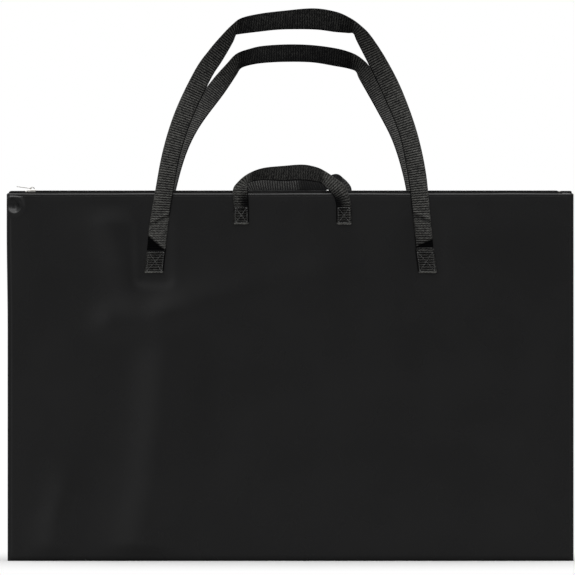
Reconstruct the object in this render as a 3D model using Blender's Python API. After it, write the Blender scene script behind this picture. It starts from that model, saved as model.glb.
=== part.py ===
"""Zip-top portfolio case: two vinyl panels, a coil zipper, two shoulder straps and two hand handles.

Metres, +Z up. X runs along the mouth, the front panel faces -Y, and the origin lies on the floor
under the middle of the case. Everything on the back panel is built like the front, on the +Y side.
"""
import math

import bmesh
import bpy
from mathutils import Matrix, Vector

MM = 0.001

# Case
CASE_WIDTH = 928 * MM
LIP_TOP = 604.5 * MM            # top of the panels, where they turn in to the zipper
CASE_HALF_DEPTH = 8 * MM        # outer face of the panels, away from the seams
SEAM_HALF_GAP = 0.15 * MM       # the panels' edges face each other across 0.3 mm
VINYL = 1.0 * MM
SEAM_TAPER = 60 * MM            # from a seam to the flat of the panel
CORNER_TAPER = 10 * MM          # the same beside the mouth, where the zipper holds the case open
CORNER_START = 500 * MM
LIP_RADIUS = 3 * MM
LIP_REACH = 1 * MM
GAP = 0.3 * MM                  # clearance between pieces that touch on the real case
PANEL_HEIGHTS = [0, 6, 15, 30, 60, 200, 350, 500, 560, 585]     # rows of the panel, in millimetres
COLUMN_INSETS = [0, 4, 10, 20, 36, 60]      # columns, in millimetres from each side seam
LIP_STEPS = 4

# Zipper, in millimetres across (y, z) for the front half
TAPE_PATH = [(6.3, 594.0), (6.3, 600.8), (5.4, 602.3), (4.0, 602.8), (3.2, 604.9), (2.4, 605.9)]
TAPE_THICKNESS = 0.5
TAPE_HALF_LENGTH = 447 * MM
TAPE_END_HEIGHTS = (597 * MM, 604.4 * MM)
TAPE_END_TAPER = [(447 * MM, 2.4 * MM), (458 * MM, 2.5 * MM), (462 * MM, 0.9 * MM)]
TAPE_END_START = 1.8 * MM       # half the width of a folded tape end, beside its stop
COIL_SECTION = [(0.8, 606.5), (2.5, 606.5), (2.9, 607.2), (2.9, 608.4), (2.2, 609.2), (0.8, 609.2)]
SLIDER_CENTRE = -426 * MM
SLIDER_HALF_LENGTH = 6.5 * MM
COIL_START = SLIDER_CENTRE - SLIDER_HALF_LENGTH - 0.3 * MM
COIL_END = 440 * MM
STOP_LENGTH = 3.6 * MM
STOP_SECTION = [
    (-2.9, 606.5), (2.9, 606.5), (2.9, 608.6), (2.2, 609.2), (-2.2, 609.2), (-2.9, 608.6),
]
SLIDER_SECTION = [
    (2.2, 603.0), (2.2, 604.1), (0.5, 604.1), (0.5, 609.6), (3.3, 609.6), (3.3, 606.6),
    (5.0, 606.6), (5.0, 610.0), (4.2, 610.8),
]
SLIDER_STATIONS = [             # along the slider, as shares of its half length: width of its plates
    (-1.0, 0.94), (-0.86, 1.0), (0.2, 1.0), (1.0, 0.86),
]
SLIDER_THROAT = 3.5             # only what lies further out than this narrows
SLIDER_AXIS_Z = 610 * MM
BAIL_STEPS = 8
BAIL_SQUARENESS = 0.7           # below 1, the arch is squarer than an ellipse
BAIL_HALF_WIDTH = 0.9 * MM
BAIL_BASE = 611.1 * MM
BAIL_OUTER = (4.0 * MM, 4.5 * MM)
BAIL_INNER = (2.6 * MM, 3.2 * MM)
BAIL_CENTRE_X = -425.0 * MM
PULL_AXIS = Vector((-425.9 * MM, 0.0, 612.45 * MM))
PULL_OUTLINE = [             # half the pull, in millimetres: half-width, distance from the axis
    (3.1, 0.7), (3.1, -6.6), (2.2, -8.4), (2.4, -12), (3.6, -21), (2.8, -24), (1.2, -25),
]
PULL_WINDOW = [(1.7, -0.7), (1.7, -6.0)]
PULL_TILT = math.radians(8)
PULL_HALF_THICKNESS = 0.6 * MM

# Hem stitching along the mouth
HEM_STITCH_Z = 599.5 * MM
HEM_STITCH_HALF_LENGTH = 452 * MM
THREAD_WIDTH = 0.7 * MM
THREAD_THICKNESS = 0.3 * MM

# Webbing
WEBBING = 1.4 * MM
TAB_THICKNESS = 2.8 * MM        # the webbing's end is folded under and sewn double
TAB_OUTER_FACE = CASE_HALF_DEPTH + GAP + TAB_THICKNESS
HINGE_GAP = 0.3 * MM
STRAP_WIDTH = 31 * MM
HANDLE_WIDTH = 25 * MM
STRAP_HINGE_Z = 513 * MM
HANDLE_HINGE_Z = 586 * MM
BACK_STRAP_LEAN = math.radians(31)
BACK_HANDLE_LEAN = math.radians(38)
STEPS_PER_RUNG = 3
FLAT_SHARE = 0.94               # webbing that shows this much of its width lies flat
TURN_START = 612 * MM           # above the mouth, where webbing may start to turn out of its plane
TURN_EASE = 30 * MM
STAND_OFF_SMOOTHING = 4

# Loops, as rungs across the webbing: outer edge (x, z), inner edge (x, z), in millimetres above
# the floor with the loop upright. The webbing creases at both inner corners.
FRONT_STRAP = [
    ((-236, 513), (-205, 513)), ((-232, 553), (-201, 553)), ((-224, 602), (-194, 600)),
    ((-210, 676), (-181, 669)), ((-189, 742), (-160, 731)), ((-157, 808), (-131, 793)),
    ((-134, 840), (-112, 823)), ((-112, 865), (-95, 852)), ((-95, 882), (-90, 864)),
    ((-80, 893), (-86, 866)), ((-52, 900), (-55, 870)), ((-12, 905), (-15, 874)),
    ((38, 909), (39, 874)), ((76, 903), (72, 870)), ((99, 892), (95, 868)),
    ((115, 880), (103, 867)), ((132, 863), (109, 854)), ((158, 824), (132, 809)),
    ((183, 775), (154, 762)), ((207, 709), (179, 700)), ((222, 643), (192, 638)),
    ((229, 577), (200, 576)), ((235, 513), (206, 513)),
]
BACK_STRAP = [
    ((-236, 513), (-205, 513)), ((-229, 560), (-199, 560)), ((-217, 635), (-188, 631)),
    ((-200, 705), (-172, 697)), ((-177, 761), (-150, 750)), ((-136, 828), (-113, 812)),
    ((-106, 866), (-91, 855)), ((-90, 885), (-85, 867)), ((-70, 896), (-76, 871)),
    ((-48, 903), (-50, 876)), ((-9, 906), (-9, 879)), ((35, 904), (35, 879)),
    ((75, 897), (72, 873)), ((101, 887), (98, 869)), ((119, 874), (109, 864)),
    ((135, 855), (115, 846)), ((167, 799), (141, 787)), ((195, 733), (168, 724)),
    ((213, 665), (185, 659)), ((226, 590), (196, 588)), ((235, 513), (206, 513)),
]
FRONT_HANDLE = [
    ((-94, 586), (-69, 586)), ((-95, 610), (-70, 609)), ((-88, 622), (-70, 615)),
    ((-71, 636), (-69, 621)), ((-46, 646), (-50, 626)), ((-11, 650), (-13, 625)),
    ((20, 652), (20, 626)), ((42, 648), (37, 624)), ((57, 641), (48, 622)),
    ((73, 630), (58, 614)), ((91, 615), (71, 600)), ((100, 586), (75, 586)),
]
BACK_HANDLE = [
    ((-94, 586), (-69, 586)), ((-94, 604), (-69, 603)), ((-88, 624), (-68, 610)),
    ((-66, 638), (-59, 614)), ((-24, 640), (-22, 615)), ((14, 643), (18, 618)),
    ((44, 647), (50, 623)), ((73, 654), (65, 630)), ((88, 640), (73, 620)),
    ((99, 624), (76, 613)), ((101, 606), (76, 604)), ((100, 586), (75, 586)),
]

# Sewn tabs: foot of each tab (centre x, z), then its top (centre x), which lies on the hinge line
STRAP_TAB_FOOT_Z = 473 * MM
HANDLE_TAB_FOOT_Z = 553 * MM
STRAP_TAB_CENTRES = {"left": (-225 * MM, -220.5 * MM), "right": (225.5 * MM, 220.5 * MM)}
HANDLE_TAB_CENTRES = {"left": (-81 * MM, -81.5 * MM), "right": (88 * MM, 87.5 * MM)}
STITCH_INSET = 3 * MM
DIAGONAL_CLEARANCE = 2.2        # thread widths from a box stitch's corner to where its sides part
STITCH_TOP_INSET = 5 * MM
PATCH_MARGIN = 9 * MM
PATCH_THICKNESS = 0.8 * MM
PATCH_TOP = 592 * MM            # a patch ends below the zipper tape

# Seam bindings, inside the case
BINDING_START = 6 * MM
BINDING_WIDTH = 10 * MM
BINDING_HALF_THICKNESS = 0.4 * MM
BINDING_TOP = 575 * MM

COLOURS = {
    "vinyl": ((0.012, 0.012, 0.013), 0.32, 0.0),
    "webbing": ((0.02, 0.02, 0.021), 0.8, 0.0),
    "thread": ((0.03, 0.03, 0.03), 0.7, 0.0),
    "tape": ((0.018, 0.018, 0.018), 0.85, 0.0),
    "coil": ((0.03, 0.03, 0.03), 0.4, 0.0),
    "nickel": ((0.75, 0.75, 0.72), 0.2, 1.0),
    "lining": ((0.02, 0.02, 0.02), 0.6, 0.0),
}


def clear_scene():
    for item in list(bpy.data.objects):
        bpy.data.objects.remove(item, do_unlink=True)


def material(name):
    """One Principled material per kind of stuff."""
    found = bpy.data.materials.get(name)
    if found:
        return found
    made = bpy.data.materials.new(name)
    made.use_nodes = True
    colour, roughness, metallic = COLOURS[name]
    shader = made.node_tree.nodes["Principled BSDF"]
    shader.inputs["Base Color"].default_value = (*colour, 1.0)
    shader.inputs["Roughness"].default_value = roughness
    shader.inputs["Metallic"].default_value = metallic
    return made


def add_object(name, mesh, stuff, parent=None):
    """Put a closed mesh, given in world coordinates, into the scene under its joint's empty."""
    mesh.materials.append(material(stuff))
    made = bpy.data.objects.new(name, mesh)
    bpy.context.collection.objects.link(made)
    if parent:
        made.parent = parent
        made.matrix_parent_inverse = parent.matrix_world.inverted()
    return made


def finish_mesh(name, bm):
    bmesh.ops.recalc_face_normals(bm, faces=bm.faces)
    mesh = bpy.data.meshes.new(name)
    bm.to_mesh(mesh)
    bm.free()
    return mesh


def add_axis(name, location):
    """An empty on a joint's axis, which carries the pieces that move with it."""
    empty = bpy.data.objects.new(name, None)
    empty.location = location
    bpy.context.collection.objects.link(empty)
    bpy.context.view_layer.update()
    return empty


def prism(name, outline, offset):
    """A closed solid: a flat outline of points, swept along offset."""
    bm = bmesh.new()
    lower = [bm.verts.new(point) for point in outline]
    upper = [bm.verts.new(Vector(point) + Vector(offset)) for point in outline]
    bm.faces.new(lower)
    bm.faces.new(upper)
    for i, vert in enumerate(lower):
        j = (i + 1) % len(lower)
        bm.faces.new((vert, lower[j], upper[j], upper[i]))
    return finish_mesh(name, bm)


def skin(name, sections):
    """A closed solid from matching flat rings of points, one ring after another."""
    bm = bmesh.new()
    rings = [[bm.verts.new(point) for point in section] for section in sections]
    for ring, following in zip(rings, rings[1:]):
        for i, vert in enumerate(ring):
            j = (i + 1) % len(ring)
            bm.faces.new((vert, ring[j], following[j], following[i]))
    bm.faces.new(rings[0])
    bm.faces.new(rings[-1])
    return finish_mesh(name, bm)


# Panels

def ease(value):
    return math.sin(math.pi / 2 * max(0.0, min(1.0, value)))


def fullness(x, z):
    """0 at a seam, 1 on the flat of the panel."""
    up = max(0.0, min(1.0, (z - CORNER_START) / (LIP_TOP - CORNER_START)))
    taper = SEAM_TAPER + (CORNER_TAPER - SEAM_TAPER) * up
    return ease((CASE_WIDTH / 2 - abs(x)) / taper) * ease(z / SEAM_TAPER)


def panel_section(x):
    """Outer points of the panel at one x, as (distance from the middle plane, z, normal angle)."""
    edge = SEAM_HALF_GAP + VINYL
    points = []
    for height in PANEL_HEIGHTS:
        depth = edge + (CASE_HALF_DEPTH - edge) * fullness(x, height * MM)
        points.append((depth, height * MM, 0.0))
    turn_start = LIP_TOP - LIP_RADIUS
    full = fullness(x, turn_start)
    depth = edge + (CASE_HALF_DEPTH - edge) * full
    sweep = math.pi / 2 * full
    for step in range(LIP_STEPS + 1):
        angle = sweep * step / LIP_STEPS
        points.append((depth - LIP_RADIUS * (1 - math.cos(angle)),
                       turn_start + LIP_RADIUS * math.sin(angle), angle))
    depth, height, angle = points[-1]
    points.append((depth - LIP_REACH * math.sin(angle), height + LIP_REACH * math.cos(angle), angle))
    return points


def panel(name, side):
    """A shallow vinyl tray: thin at its three seams, and turned in along the mouth."""
    half = CASE_WIDTH / 2
    columns = [-half + inset * MM for inset in COLUMN_INSETS] + [-half / 2, 0.0, half / 2]
    columns += [half - inset * MM for inset in reversed(COLUMN_INSETS)]
    sections = []
    for x in columns:
        outer = panel_section(x)
        inner = [(d - VINYL * math.cos(a), z - VINYL * math.sin(a)) for d, z, a in outer]
        ring = [(x, side * d, z) for d, z, _ in outer]
        ring += [(x, side * d, z) for d, z in reversed(inner)]
        sections.append(ring)
    add_object(name, skin(name, sections), "vinyl")


# Zipper

def bar_along_x(outline_mm, side, start, end):
    """A section in millimetres, (distance from the middle plane, z), swept from start to end."""
    outline = [(start, side * y * MM, z * MM) for y, z in outline_mm]
    return outline, (end - start, 0, 0)


def tape_section():
    """The woven tape's section: its path, and the same path one thickness further in."""
    inner = []
    for i, point in enumerate(TAPE_PATH):
        before = Vector(TAPE_PATH[max(i - 1, 0)])
        after = Vector(TAPE_PATH[min(i + 1, len(TAPE_PATH) - 1)])
        run = (after - before).normalized()
        inner.append((point[0] - run.y * TAPE_THICKNESS, point[1] + run.x * TAPE_THICKNESS))
    return TAPE_PATH + inner[::-1]


def zipper_half(side_name, side):
    tape = bar_along_x(tape_section(), side, -TAPE_HALF_LENGTH, TAPE_HALF_LENGTH)
    name = side_name + "_zipper_tape"
    add_object(name, prism(name, *tape), "tape")
    coil = bar_along_x(COIL_SECTION, side, COIL_START, COIL_END)
    name = side_name + "_zipper_coil"
    add_object(name, prism(name, *coil), "coil")


def zipper_stops():
    """Metal clamps on the tapes, at the closed end and at the open end of the coil."""
    places = {"closed_end_stop": COIL_START - GAP - STOP_LENGTH, "open_end_stop": COIL_END + GAP}
    for name, start in places.items():
        stop = bar_along_x(STOP_SECTION, 1, start, start + STOP_LENGTH)
        add_object(name, prism(name, *stop), "nickel")


def tape_ends():
    """Beyond the stops the two tapes are folded together and sewn into the corners of the mouth."""
    low, high = TAPE_END_HEIGHTS
    starts = {"left_tape_end": -(COIL_START - 2 * GAP - STOP_LENGTH),
              "right_tape_end": COIL_END + 2 * GAP + STOP_LENGTH}
    for name, start in starts.items():
        way = -1 if name.startswith("left") else 1
        half = [(start, TAPE_END_START)] + TAPE_END_TAPER
        outline = [(way * x, y, low) for x, y in half] + [(way * x, -y, low) for x, y in half[::-1]]
        add_object(name, prism(name, outline, (0, 0, high - low)), "tape")


def slider(parent):
    """Two plates joined by the wedge that runs between the coils, with flanges beside them."""
    outline = SLIDER_SECTION + [(-y, z) for y, z in reversed(SLIDER_SECTION)]
    sections = []
    for along, scale in SLIDER_STATIONS:
        x = SLIDER_CENTRE + along * SLIDER_HALF_LENGTH
        ring = []
        for y, z in outline:
            wide = y * scale if abs(y) > SLIDER_THROAT else y
            ring.append((x, wide * MM, z * MM))
        sections.append(ring)
    add_object("slider_body", skin("slider_body", sections), "nickel", parent)


def slider_bail(parent):
    """The arch on the slider that holds the pull."""
    outline = []
    for reach, order in ((BAIL_OUTER, 1), (BAIL_INNER, -1)):
        for step in range(BAIL_STEPS + 1)[::order]:
            angle = math.pi * step / BAIL_STEPS
            outline.append((BAIL_CENTRE_X - reach[0] * math.cos(angle), -BAIL_HALF_WIDTH,
                            BAIL_BASE + reach[1] * math.sin(angle) ** BAIL_SQUARENESS))
    mesh = prism("slider_bail", outline, (0, 2 * BAIL_HALF_WIDTH, 0))
    add_object("slider_bail", mesh, "nickel", parent)


def slider_pull(parent):
    """A flat pull with a long window that turns on the bail, laid towards the closed end."""
    outer = PULL_OUTLINE + [(-u, v) for u, v in reversed(PULL_OUTLINE)]
    window = PULL_WINDOW + [(-u, v) for u, v in reversed(PULL_WINDOW)]
    bm = bmesh.new()
    ring = [bm.verts.new((v * MM, u * MM, 0)) for u, v in outer]
    hole = [bm.verts.new((v * MM, u * MM, 0)) for u, v in window]
    bm.faces.new((ring[0], ring[1], hole[1], hole[0]))
    bm.faces.new((*ring[1:-1], hole[2], hole[1]))
    bm.faces.new((ring[-2], ring[-1], hole[3], hole[2]))
    bm.faces.new((ring[-1], ring[0], hole[0], hole[3]))
    bmesh.ops.triangulate(bm, faces=bm.faces)
    swept = bmesh.ops.extrude_face_region(bm, geom=bm.faces[:])
    lifted = [item for item in swept["geom"] if isinstance(item, bmesh.types.BMVert)]
    thickness = 2 * PULL_HALF_THICKNESS
    bmesh.ops.translate(bm, verts=lifted, vec=(0, 0, thickness))
    bmesh.ops.translate(bm, verts=bm.verts, vec=(0, 0, -PULL_HALF_THICKNESS))
    bm.transform(Matrix.Rotation(PULL_TILT, 4, "Y"))
    bm.transform(Matrix.Translation(PULL_AXIS))
    add_object("slider_pull", finish_mesh("slider_pull", bm), "nickel", parent)


# Webbing

def smooth_rungs(rungs, steps):
    """Catmull-Rom curves through both edges of a loop, read at even steps between the rungs."""
    def blend(p0, p1, p2, p3, t):
        return 0.5 * (2 * p1 + (p2 - p0) * t + (2 * p0 - 5 * p1 + 4 * p2 - p3) * t * t
                      + (3 * p1 - p0 - 3 * p2 + p3) * t ** 3)

    last = len(rungs) - 1
    smooth = []
    for i in range(last):
        near = [rungs[max(i - 1, 0)], rungs[i], rungs[i + 1], rungs[min(i + 2, last)]]
        for step in range(steps):
            smooth.append([blend(*(Vector(rung[k]) for rung in near), step / steps)
                           for k in range(2)])
    smooth.append([Vector(rungs[last][k]) for k in range(2)])
    return smooth


def stand_offs(rungs, width):
    """How far the inner edge lies behind the outer one at each rung, as the rung shows less."""
    offs = []
    for outer, inner in rungs:
        shown = (outer - inner).length * MM
        height = min(outer.y, inner.y) * MM - TURN_START
        off = math.sqrt(max(0.0, (FLAT_SHARE * width) ** 2 - shown ** 2))
        offs.append(off * max(0.0, min(1.0, height / TURN_EASE)))
    for _ in range(STAND_OFF_SMOOTHING):
        inside = [(a + 2 * b + c) / 4 for a, b, c in zip(offs, offs[1:], offs[2:])]
        offs = [offs[0]] + inside + [offs[-1]]
    return offs


def webbing_skin(name, sections):
    """A ribbon's skin from rings of outer, inner, inner back and outer back corner. Both faces
    are split along the same diagonals, so that a twisted stretch keeps its thickness."""
    bm = bmesh.new()
    rings = [[bm.verts.new(point) for point in section] for section in sections]
    for ring, following in zip(rings, rings[1:]):
        for i in range(4):
            j = (i + 1) % 4
            if i < 2:
                bm.faces.new((ring[i], ring[j], following[j]))
                bm.faces.new((ring[i], following[j], following[i]))
            else:
                bm.faces.new((ring[i], ring[j], following[i]))
                bm.faces.new((ring[j], following[j], following[i]))
    bm.faces.new(rings[0])
    bm.faces.new(rings[-1])
    return finish_mesh(name, bm)


def webbing_loop(name, rungs, width, side, hinge_z, lean, parent):
    """A ribbon of constant width. Where a rung is short, it turns its face down, about its middle."""
    rungs = smooth_rungs(rungs, STEPS_PER_RUNG)
    stations = []
    for (outer, inner), off in zip(rungs, stand_offs(rungs, width)):
        stations.append((
            Vector((outer.x * MM, -off / 2, max(outer.y * MM - hinge_z, HINGE_GAP))),
            Vector((inner.x * MM, off / 2, max(inner.y * MM - hinge_z, HINGE_GAP))),
        ))
    rings = []
    for i, (outer, inner) in enumerate(stations):
        before = stations[max(i - 1, 0)]
        after = stations[min(i + 1, len(stations) - 1)]
        along = (after[0] + after[1]) - (before[0] + before[1])
        normal = along.cross(outer - inner).normalized()
        if normal.y * side > 0:
            normal.negate()
        if i in (0, len(stations) - 1):
            normal = Vector((0, -side, 0))
        behind = normal * WEBBING
        rings.append([outer, inner, inner + behind, outer + behind])
    turn = Matrix.Rotation(-side * lean, 4, "X")
    hinge = Vector((0, side * TAB_OUTER_FACE, hinge_z))
    sections = [[hinge + turn @ point for point in ring] for ring in rings]
    add_object(name, webbing_skin(name, sections), "webbing", parent)


def tab_outline(foot_x, top_x, width, foot_z, top_z, distance):
    half = width / 2
    return [(foot_x - half, distance, foot_z), (foot_x + half, distance, foot_z),
            (top_x + half, distance, top_z), (top_x - half, distance, top_z)]


def box_stitch(name, corners, side):
    """One run of thread sewn as a box with both diagonals, on four corners given in order."""
    centre = sum(corners, Vector()) / 4
    bm = bmesh.new()
    outer = [bm.verts.new(corner) for corner in corners]
    holes = []
    for i in range(4):
        here = corners[i]
        there = corners[(i + 1) % 4]
        middle = (here + there) / 2
        triangle = []
        for corner, other in ((here, there), (there, here)):
            along = (other - corner).normalized() * THREAD_WIDTH * DIAGONAL_CLEARANCE
            inward = (centre - middle).normalized() * THREAD_WIDTH
            triangle.append(bm.verts.new(corner + along + inward))
        apex = centre + (middle - centre).normalized() * THREAD_WIDTH
        triangle.append(bm.verts.new(apex))
        holes.append(triangle)
    for i in range(4):
        j = (i + 1) % 4
        k = (i - 1) % 4
        bm.faces.new((outer[i], outer[j], holes[i][1], holes[i][0]))
        bm.faces.new((outer[i], holes[i][0], holes[k][1]))
        bm.faces.new((holes[i][0], holes[i][2], holes[k][2], holes[k][1]))
    bm.faces.new([holes[i][2] for i in range(4)])
    swept = bmesh.ops.extrude_face_region(bm, geom=bm.faces[:])
    lifted = [item for item in swept["geom"] if isinstance(item, bmesh.types.BMVert)]
    bmesh.ops.translate(bm, verts=lifted, vec=(0, side * THREAD_THICKNESS, 0))
    add_object(name, finish_mesh(name, bm), "thread")


def sewn_tab(prefix, foot_x, top_x, width, foot_z, top_z, side):
    """The sewn end of a strap, its box stitch, and the patch inside the panel behind it."""
    distance = side * (CASE_HALF_DEPTH + GAP)
    outline = tab_outline(foot_x, top_x, width, foot_z, top_z, distance)
    name = prefix + "_tab"
    add_object(name, prism(name, outline, (0, side * TAB_THICKNESS, 0)), "webbing")
    lift = side * (TAB_OUTER_FACE + GAP)
    sewn = tab_outline(foot_x, top_x, width - 2 * STITCH_INSET,
                       foot_z + STITCH_INSET, top_z - STITCH_TOP_INSET, lift)
    box_stitch(prefix + "_stitch", [Vector(corner) for corner in sewn], side)
    inside = side * (CASE_HALF_DEPTH - VINYL - GAP)
    patch = tab_outline(foot_x, foot_x, width + 2 * PATCH_MARGIN,
                        foot_z - PATCH_MARGIN, min(top_z + PATCH_MARGIN, PATCH_TOP), inside)
    name = prefix + "_patch"
    add_object(name, prism(name, patch, (0, -side * PATCH_THICKNESS, 0)), "lining")


def strap_set(side_name, side, kind, rungs, width, centres, foot_z, hinge_z, lean):
    """A loop on its hinge line, with the two tabs that hold it to the panel."""
    for end, (foot_x, top_x) in centres.items():
        sewn_tab(f"{side_name}_{kind}_{end}", foot_x, top_x, width, foot_z, hinge_z, side)
    name = f"{side_name}_{kind}"
    axis = add_axis(name + "_axis", (0, side * TAB_OUTER_FACE, hinge_z))
    webbing_loop(name + "_loop", rungs, width, side, hinge_z, lean, axis)


# Seams

def hem_stitch(side_name, side):
    """The row of thread that holds the turned-in edge and the zipper tape."""
    near = (CASE_HALF_DEPTH + GAP) / MM
    low = HEM_STITCH_Z / MM
    section = [(near, low), (near + THREAD_THICKNESS / MM, low),
               (near + THREAD_THICKNESS / MM, low + THREAD_WIDTH / MM), (near, low + THREAD_WIDTH / MM)]
    name = side_name + "_hem_stitch"
    row = bar_along_x(section, side, -HEM_STITCH_HALF_LENGTH, HEM_STITCH_HALF_LENGTH)
    add_object(name, prism(name, *row), "thread")


def seam_bindings():
    """Strips folded over the raw edges, inside the side seams and the bottom seam."""
    edge = CASE_WIDTH / 2 - BINDING_START
    inner = edge - BINDING_WIDTH
    low = BINDING_START
    high = BINDING_START + BINDING_WIDTH
    side_low = high + GAP
    outlines = {
        "left_seam_binding": [(-edge, side_low), (-inner, side_low), (-inner, BINDING_TOP),
                              (-edge, BINDING_TOP)],
        "right_seam_binding": [(inner, side_low), (edge, side_low), (edge, BINDING_TOP),
                               (inner, BINDING_TOP)],
        "bottom_seam_binding": [(-inner, low), (inner, low), (inner, high), (-inner, high)],
    }
    for name, outline in outlines.items():
        points = [(x, -BINDING_HALF_THICKNESS, z) for x, z in outline]
        add_object(name, prism(name, points, (0, 2 * BINDING_HALF_THICKNESS, 0)), "lining")


def build():
    clear_scene()
    for side_name, side in (("front", -1), ("back", 1)):
        panel(side_name + "_panel", side)
        zipper_half(side_name, side)
        hem_stitch(side_name, side)
        front = side < 0
        strap_set(side_name, side, "shoulder_strap", FRONT_STRAP if front else BACK_STRAP,
                  STRAP_WIDTH, STRAP_TAB_CENTRES, STRAP_TAB_FOOT_Z, STRAP_HINGE_Z,
                  0.0 if front else BACK_STRAP_LEAN)
        strap_set(side_name, side, "hand_handle", FRONT_HANDLE if front else BACK_HANDLE,
                  HANDLE_WIDTH, HANDLE_TAB_CENTRES, HANDLE_TAB_FOOT_Z, HANDLE_HINGE_Z,
                  0.0 if front else BACK_HANDLE_LEAN)
    seam_bindings()
    zipper_stops()
    tape_ends()
    slider_axis = add_axis("slider_axis", (SLIDER_CENTRE, 0, SLIDER_AXIS_Z))
    slider(slider_axis)
    slider_bail(slider_axis)
    pull_axis = add_axis("pull_axis", PULL_AXIS)
    slider_pull(pull_axis)


build()
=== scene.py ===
"""Looks of the zip-top portfolio case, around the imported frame.

Vinyl panels, a coil zipper, ribbed webbing, sewn stitches and nickel parts. +Z is up, and the front
panel faces -Y. Lengths are in millimetres up to add_mesh, and in metres from there on.
"""

import math

import bmesh
import bpy
import numpy as np
from mathutils import Matrix, Vector


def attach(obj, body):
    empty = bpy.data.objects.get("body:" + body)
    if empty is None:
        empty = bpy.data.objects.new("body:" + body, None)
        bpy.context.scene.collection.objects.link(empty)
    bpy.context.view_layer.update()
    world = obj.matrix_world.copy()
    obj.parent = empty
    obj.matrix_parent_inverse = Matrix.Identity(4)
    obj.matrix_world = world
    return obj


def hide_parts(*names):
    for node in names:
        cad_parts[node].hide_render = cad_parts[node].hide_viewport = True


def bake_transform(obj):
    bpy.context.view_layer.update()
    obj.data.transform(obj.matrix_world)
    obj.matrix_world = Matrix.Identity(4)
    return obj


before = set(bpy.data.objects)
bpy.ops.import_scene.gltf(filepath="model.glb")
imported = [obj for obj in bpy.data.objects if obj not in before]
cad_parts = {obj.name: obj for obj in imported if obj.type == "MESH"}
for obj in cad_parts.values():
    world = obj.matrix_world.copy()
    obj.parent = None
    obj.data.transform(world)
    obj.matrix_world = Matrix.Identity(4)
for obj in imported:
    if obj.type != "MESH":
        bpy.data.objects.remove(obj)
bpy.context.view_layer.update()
MM = 0.001

# Panels: the visible sheet goes 1.6 mm past the CAD at each side, and 0.4 mm past it at the lip
HALF_WIDTH = 465.6
LIP_TOP = 604.9
HALF_DEPTH = 8.0
SEAM_DEPTH = 1.15       # the outer face at the very edge of the sheet
SHOULDER_DEPTH = 3.2    # the outer face just inside that edge
EDGE_TURN = 1.4         # how far in the sheet has turned over, at the sides
BOTTOM_TURN = 0.5       # the same at the bottom
VINYL = 1.0
SEAM_TAPER = 7.0        # shorter than in the CAD: the filled sheet turns in close to its seam
CORNER_TAPER = 6.0      # the same beside the mouth
CORNER_START = 500.0
LIP_RADIUS = 3.0
LIP_REACH = 1.0
LIP_START = LIP_TOP - LIP_RADIUS
LIP_STEPS = 8
EDGE_INSETS = [0, 0.15, 0.4, 0.8, 1.3, 1.8, 2.4, 3.4, 5, 7, 9, 11, 13, 15, 17, 19, 21, 24, 27, 30,
               34, 38, 43, 48, 54]
BOTTOM_ROWS = [0, 0.15, 0.4, 0.8, 1.3, 1.8, 2.5, 4, 6, 9, 12, 16, 20, 25, 30, 36, 42, 48, 54]
PUCKER_MIDDLE = (-453.5, 585.5)
PUCKER_REACH = (12.0, 14.5)
EDGE_FLARE = 1.6        # the front sheet's left edge stands out this much more near the mouth
STITCH_LINE = 600.2
HEM_HALF_LENGTH = 452.0

# Zipper
TAPE_PATH = [(6.3, 594.0), (6.3, 600.8), (5.4, 602.3), (4.0, 602.8), (3.2, 604.9), (2.4, 605.9)]
TAPE_THICKNESS = 0.5
TAPE_HALF_LENGTH = 447.0
COIL_START, COIL_END = -432.8, 440.0
COIL_PITCH = 1.6
COIL_MIDDLE = (1.35, 608.0)
COIL_REACH = (1.45, 1.25)
COIL_WIRE = 0.38
CORD_MIDDLE = (1.75, 606.9)
CORD_REACH = (0.9, 2.05)
CORD_HALF_LENGTH = 463.5

# Webbing: sizes and loops follow the CAD, apart from a lower middle on the back handle. A loop is a
# list of its outer and inner edge's (x, z), and a band is where in x its top faces down and is
# given painted shade.
WEBBING = 1.4
TAB_BACK = 8.3
TAB_FACE = 11.1
TAB_CORNER = 4.0
FLAT_SHARE = 0.94       # webbing that shows this much of its width lies flat
TURN_START = 612.0      # above the mouth, where webbing may start to turn out of its plane
TURN_EASE = 30.0
LOOP_CLEARANCE = 0.3
LOOP_STEPS = 10         # stations from one point of a line to the next
LOOP_SMOOTHING = 44     # rounds of averaging of how far the webbing turns out
# rib_shade is painted shade in the rib grooves, inner_shade painted shade on the inner face, and
# dimming painted shade above dim_above and below dim_below
STRAP = {
    "width": 31.0, "foot": 473.0, "hinge": 513.0, "under": 38.0,
    "left": (-225.0, -220.5), "right": (225.5, 220.5), "step": 0.75,
    "rib_shade": 0.88, "inner_shade": 0.8, "dim_above": 740.0, "dim_below": 600.0, "dimming": 0.28,
}
HANDLE = {
    "width": 25.0, "foot": 553.0, "hinge": 586.0, "under": 30.0,
    "left": (-81.0, -81.5), "right": (88.0, 87.5), "step": 0.6,
    "rib_shade": 0.75, "inner_shade": 0.42, "dim_above": 900.0, "dim_below": 625.0, "dimming": 0.42,
}
FRONT_STRAP = [
    ((-236, 513), (-205, 513)), ((-232, 553), (-201, 553)), ((-224, 602), (-194, 600)),
    ((-210, 676), (-181, 669)), ((-189, 742), (-160, 731)), ((-157, 808), (-131, 793)),
    ((-134, 840), (-112, 823)), ((-112, 865), (-95, 852)), ((-95, 882), (-90, 864)),
    ((-80, 893), (-86, 866)), ((-52, 900), (-55, 870)), ((-12, 905), (-15, 874)),
    ((38, 909), (39, 874)), ((76, 903), (72, 870)), ((99, 892), (95, 868)),
    ((115, 880), (103, 867)), ((132, 863), (109, 854)), ((158, 824), (132, 809)),
    ((183, 775), (154, 762)), ((207, 709), (179, 700)), ((222, 643), (192, 638)),
    ((229, 577), (200, 576)), ((235, 513), (206, 513)),
]
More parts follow.
